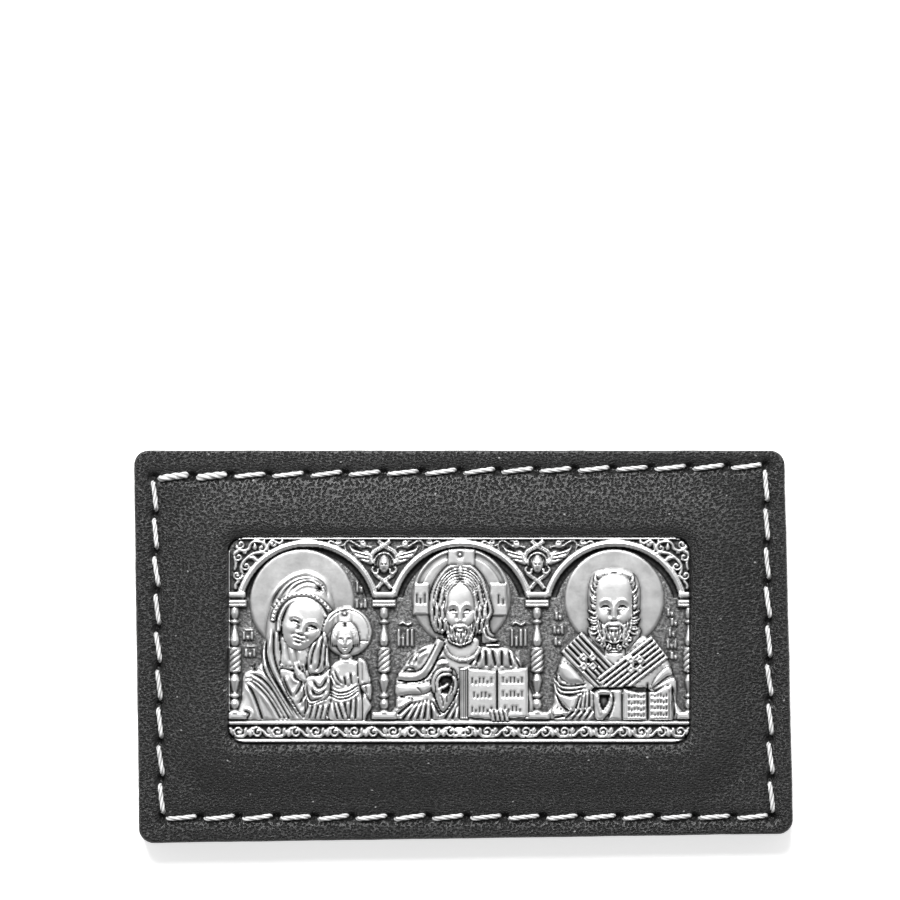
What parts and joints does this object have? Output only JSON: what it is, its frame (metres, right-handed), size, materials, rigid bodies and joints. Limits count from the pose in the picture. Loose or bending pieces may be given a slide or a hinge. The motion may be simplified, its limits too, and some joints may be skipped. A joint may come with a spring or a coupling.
{
  "type": "travel icon",
  "caption": "Pocket travel icon: a cast silver-toned relief plaque of three figures under arches, in a hand-stitched black leather case with a card pocket behind.",
  "frame": {"origin": "under the middle of the case, on the back face that it lies on", "axes": "+X along the case to the right of the picture, +Y to the top of the picture, +Z out of the front"},
  "size_m": [0.0896, 0.0534, 0.0065],
  "materials": {
    "grained_leather": "black pebble-grained leather, satin, with an oiled sheen on the raised parts",
    "smooth_leather": "black smooth pocket leather, matte",
    "antiqued_silver": "cast metal with antiqued silver plate, bright on the relief and dark in the recesses",
    "waxed_thread": "light grey waxed twisted thread"
  },
  "bodies": {
    "root": {"front_frame": "grained_leather", "back_panel": "grained_leather", "card_pocket": "smooth_leather", "plaque": "antiqued_silver", "thread_a": "waxed_thread", "thread_b": "waxed_thread"}
  },
  "joints": []
}
